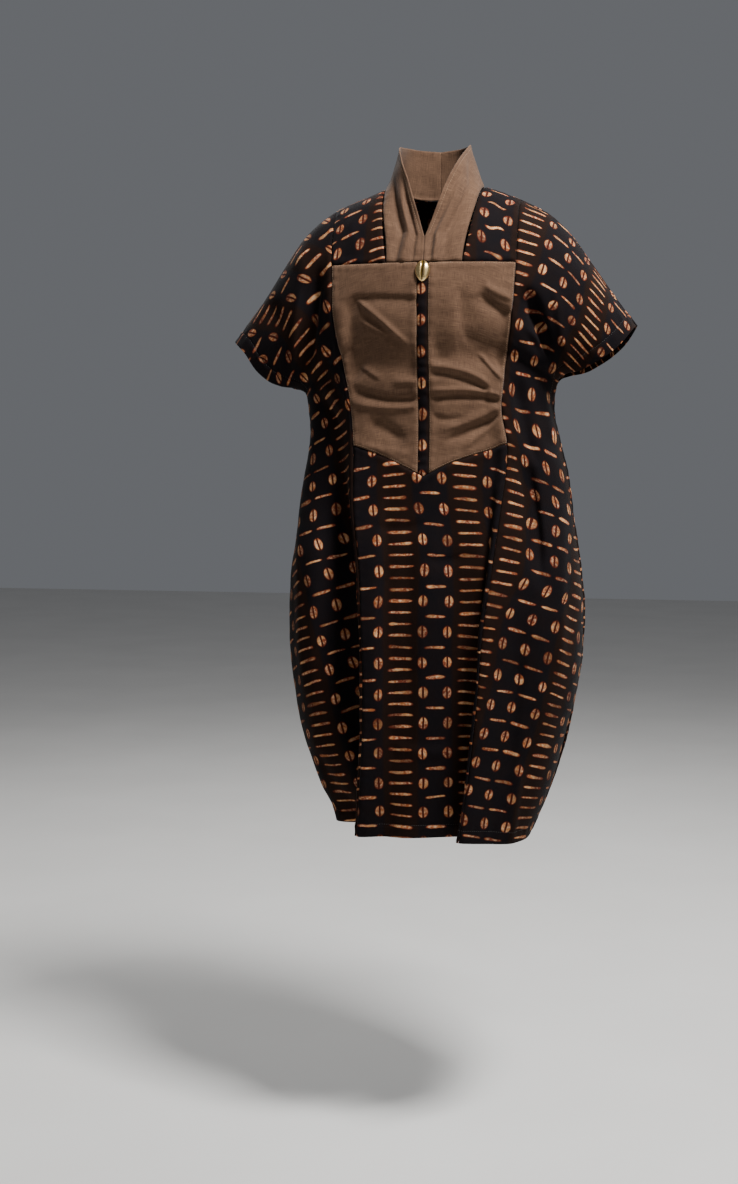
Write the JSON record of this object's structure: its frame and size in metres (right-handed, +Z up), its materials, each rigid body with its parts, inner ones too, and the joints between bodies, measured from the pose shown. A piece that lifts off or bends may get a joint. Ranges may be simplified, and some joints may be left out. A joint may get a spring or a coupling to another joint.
{
  "type": "dress",
  "caption": "Knee-length worn kaftan dress, hollow: printed cotton side panels with cut-on short sleeves, plain linen bodice with a pointed waist, and a standing band collar with a V neck.",
  "frame": {"origin": "middle of the neck's base, at the height of the shoulder seams, where the wearer holds the dress up", "axes": "+Z up along the wearer, the front of the dress faces -Y, the wearer's right side is at -X"},
  "size_m": [0.624, 0.3044, 1.0607],
  "materials": {
    "printed_cotton": "matt black cotton with a resist-style orange print",
    "brown_linen": "matt plain-woven brown linen",
    "gilt_brass": "polished gilt"
  },
  "bodies": {
    "root": {"back": "printed_cotton", "side_right": "printed_cotton", "side_left": "printed_cotton", "skirt_front": "printed_cotton", "yoke_right": "printed_cotton", "yoke_left": "printed_cotton", "placket": "printed_cotton", "bodice_right": "brown_linen", "bodice_left": "brown_linen", "collar_right": "brown_linen", "collar_left": "brown_linen", "cowrie_button": "gilt_brass"}
  },
  "joints": []
}
